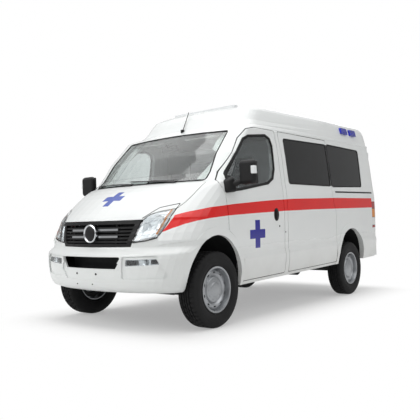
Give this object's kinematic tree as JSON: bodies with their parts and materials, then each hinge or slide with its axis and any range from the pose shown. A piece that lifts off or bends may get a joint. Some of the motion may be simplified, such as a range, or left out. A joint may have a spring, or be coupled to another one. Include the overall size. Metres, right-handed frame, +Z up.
{
  "type": "ambulance",
  "caption": "One-box van ambulance with a raised roof, opening cab and rear doors, opening bonnet, steered front wheels and a seated cab.",
  "frame": {"origin": "on the ground under the middle of the bounding box", "axes": "-Y towards the front of the vehicle, +X towards its left side, +Z up"},
  "size_m": [2.5424, 4.8997, 2.4654],
  "materials": {
    "white_paint": "gloss white paint",
    "clear_glass": "clear, lightly tinted",
    "dark_glass": "dark tint",
    "lamp_glass": "clear lens over bright reflectors",
    "reflector": "bright reflector bowls",
    "bright_trim": "bright bars and plain badge disc",
    "red_lens": "gloss red lens",
    "blue_lens": "gloss blue lens",
    "black_grille": "satin black with bright bars",
    "black_plastic": "grained black plastic",
    "black_rubber": "matt",
    "tyre_rubber": "matt tread, satin sidewall",
    "wheel_silver": "silver painted steel",
    "chassis_steel": "matt black paint",
    "exhaust_steel": "dull aluminised steel",
    "cast_engine": "bare cast",
    "seat_fabric": "woven dark grey",
    "floor_covering": "grey studded sheet"
  },
  "bodies": {
    "body": {"floor": "floor_covering", "chassis": "chassis_steel", "cab_frame": "white_paint", "side_walls": "white_paint", "roof": "white_paint", "front_wings": "white_paint", "front_bumper": "white_paint", "rear_bumper": "white_paint", "grille": "black_grille", "grille_trim": "bright_trim", "front_lamps": "lamp_glass", "lamp_housings": "reflector", "tail_lamps": "red_lens", "windscreen": "clear_glass", "side_glass": "dark_glass", "sliding_doors": "white_paint", "rear_axle": "chassis_steel", "engine": "cast_engine", "exhaust": "exhaust_steel", "seats": "seat_fabric", "dashboard": "black_plastic", "steering_wheel": "black_plastic", "wipers": "black_plastic", "light_bar": "black_plastic", "beacons": "blue_lens", "antenna": "black_plastic", "wheel_liners": "black_rubber"},
    "front_door_left_body": {"front_door_left": "white_paint", "door_glass_left": "clear_glass", "mirror_left": "black_plastic"},
    "front_door_right_body": {"front_door_right": "white_paint", "door_glass_right": "clear_glass", "mirror_right": "black_plastic"},
    "rear_door_left_body": {"rear_door_left": "white_paint", "rear_glass_left": "dark_glass"},
    "rear_door_right_body": {"rear_door_right": "white_paint", "rear_glass_right": "dark_glass"},
    "bonnet_body": {"bonnet": "white_paint"},
    "knuckle_left_body": {"knuckle_left": "chassis_steel"},
    "knuckle_right_body": {"knuckle_right": "chassis_steel"},
    "wheel_front_left": {"rim_front_left": "wheel_silver", "tyre_front_left": "tyre_rubber"},
    "wheel_front_right": {"rim_front_right": "wheel_silver", "tyre_front_right": "tyre_rubber"},
    "wheel_rear_left": {"rim_rear_left": "wheel_silver", "tyre_rear_left": "tyre_rubber"},
    "wheel_rear_right": {"rim_rear_right": "wheel_silver", "tyre_rear_right": "tyre_rubber"}
  },
  "joints": [
    {"name": "front_door_left_hinge", "type": "hinge", "parent": "body", "child": "front_door_left_body", "pos_m": [0.979, -1.63381, 0.90199], "axis": [0, 0.0332, -0.9995], "range_deg": [0, 68]},
    {"name": "front_door_right_hinge", "type": "hinge", "parent": "body", "child": "front_door_right_body", "pos_m": [-0.979, -1.63381, 0.90199], "axis": [0, -0.0332, 0.9995], "range_deg": [0, 68]},
    {"name": "rear_door_left_hinge", "type": "hinge", "parent": "body", "child": "rear_door_left_body", "pos_m": [0.886, 2.34605, 1.33418], "axis": [0, 0.0332, -0.9995], "range_deg": [0, 180]},
    {"name": "rear_door_right_hinge", "type": "hinge", "parent": "body", "child": "rear_door_right_body", "pos_m": [-0.886, 2.34605, 1.33418], "axis": [0, -0.0332, 0.9995], "range_deg": [0, 180]},
    {"name": "bonnet_hinge", "type": "hinge", "parent": "body", "child": "bonnet_body", "pos_m": [0, -1.6249, 1.41757], "axis": [-1, 0, 0], "range_deg": [0, 50]},
    {"name": "steer_left", "type": "hinge", "parent": "body", "child": "knuckle_left_body", "pos_m": [0.867, -1.685, 0.364], "axis": [0, 0, 1], "range_deg": [-32, 32]},
    {"name": "steer_right", "type": "hinge", "parent": "body", "child": "knuckle_right_body", "pos_m": [-0.867, -1.685, 0.364], "axis": [0, 0, 1], "range_deg": [-32, 32]},
    {"name": "wheel_front_left_spin", "type": "hinge", "parent": "knuckle_left_body", "child": "wheel_front_left", "pos_m": [0.867, -1.685, 0.364], "axis": [-1, 0, 0], "continuous": true},
    {"name": "wheel_front_right_spin", "type": "hinge", "parent": "knuckle_right_body", "child": "wheel_front_right", "pos_m": [-0.867, -1.685, 0.364], "axis": [-1, 0, 0], "continuous": true},
    {"name": "wheel_rear_left_spin", "type": "hinge", "parent": "body", "child": "wheel_rear_left", "pos_m": [0.862, 1.415, 0.364], "axis": [-1, 0, 0], "continuous": true},
    {"name": "wheel_rear_right_spin", "type": "hinge", "parent": "body", "child": "wheel_rear_right", "pos_m": [-0.862, 1.415, 0.364], "axis": [-1, 0, 0], "continuous": true}
  ],
  "couplings": [
    {"joint": "steer_right", "follows": "steer_left", "ratio": 1}
  ]
}
